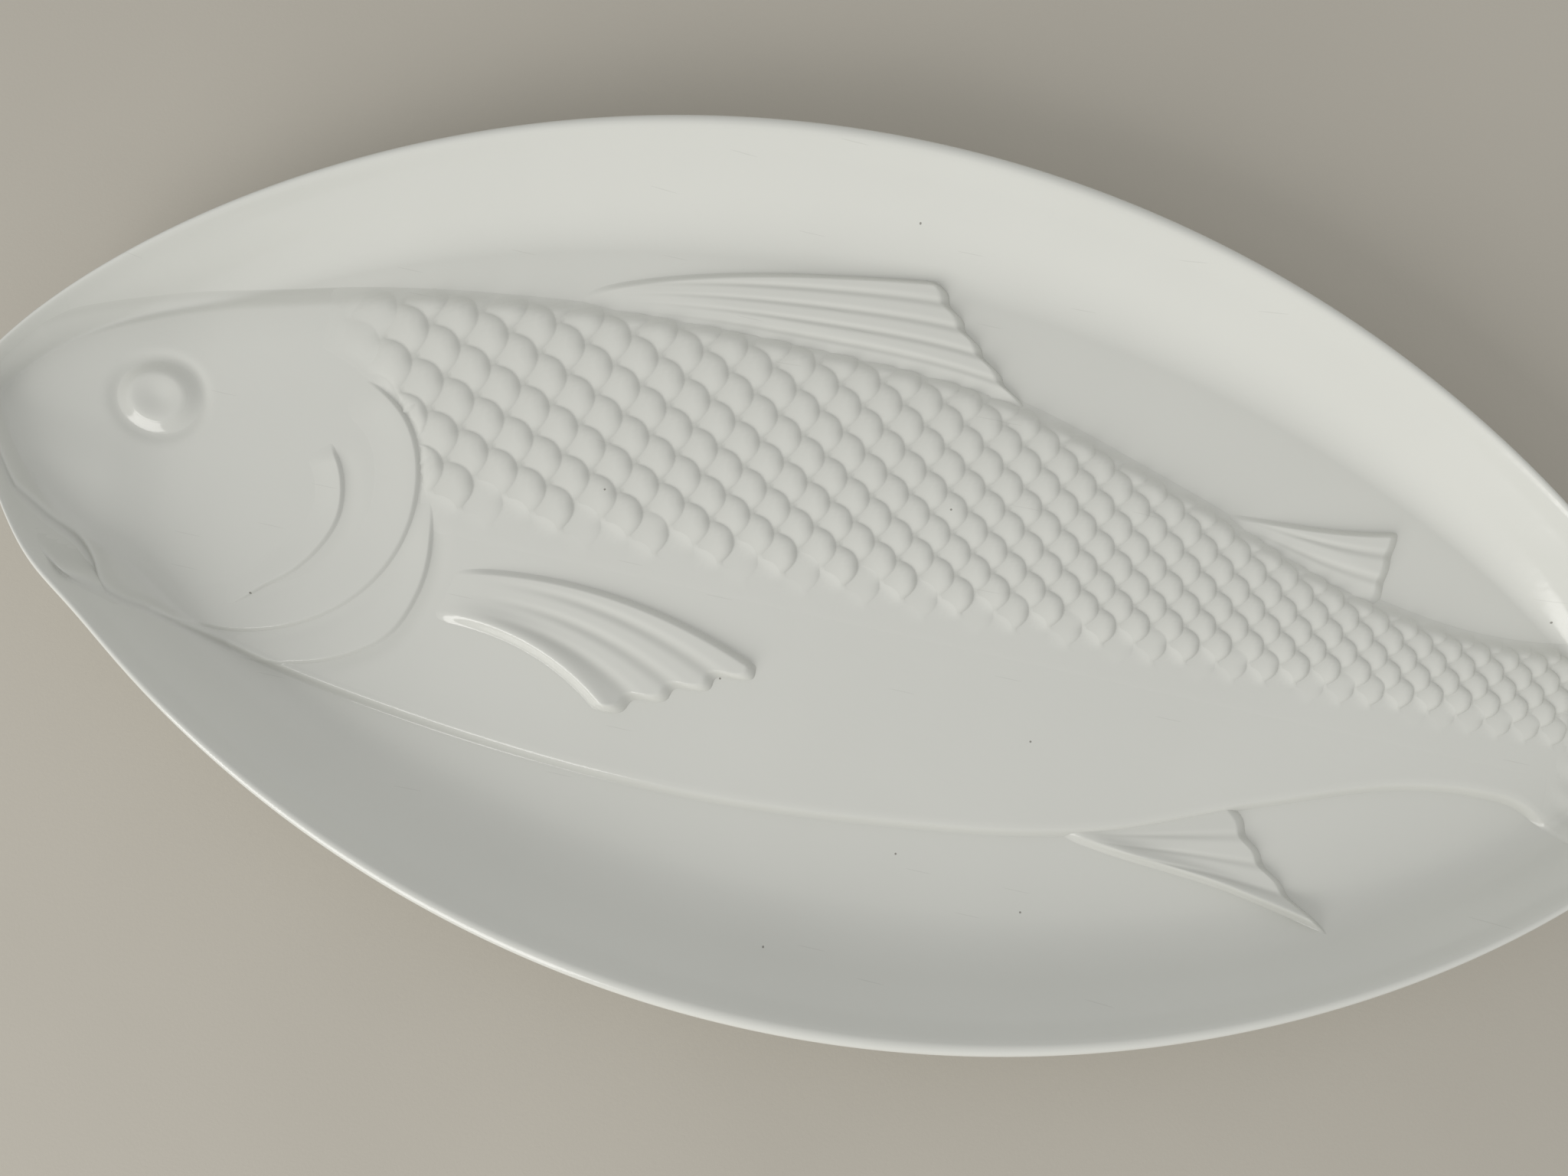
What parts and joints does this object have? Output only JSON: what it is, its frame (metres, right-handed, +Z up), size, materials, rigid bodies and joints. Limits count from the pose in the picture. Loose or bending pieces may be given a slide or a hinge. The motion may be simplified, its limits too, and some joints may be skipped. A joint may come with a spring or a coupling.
{
  "type": "fish platter",
  "caption": "Long almond-shaped white glazed serving platter on a foot ring, with a whole fish in low relief from nose to tail.",
  "frame": {"origin": "on the table plane under the foot ring, below the middle of the platter", "axes": "+X along the length towards the fish's tail, +Y across towards the fish's back, +Z up"},
  "size_m": [0.56, 0.284, 0.038],
  "materials": {
    "white_glaze": "gloss",
    "bare_clay": "matte"
  },
  "bodies": {
    "root": {"platter_dish": "white_glaze", "fish_body": "white_glaze", "head": "white_glaze", "cheek_plate": "white_glaze", "gill_cover": "white_glaze", "gill_membrane": "white_glaze", "eye_ring": "white_glaze", "eye_dome": "white_glaze", "lower_jaw": "white_glaze", "scales": "white_glaze", "dorsal_fin": "white_glaze", "adipose_fin": "white_glaze", "pectoral_fin": "white_glaze", "anal_fin": "white_glaze", "tail_fin": "white_glaze", "foot_ring": "bare_clay"}
  },
  "joints": []
}
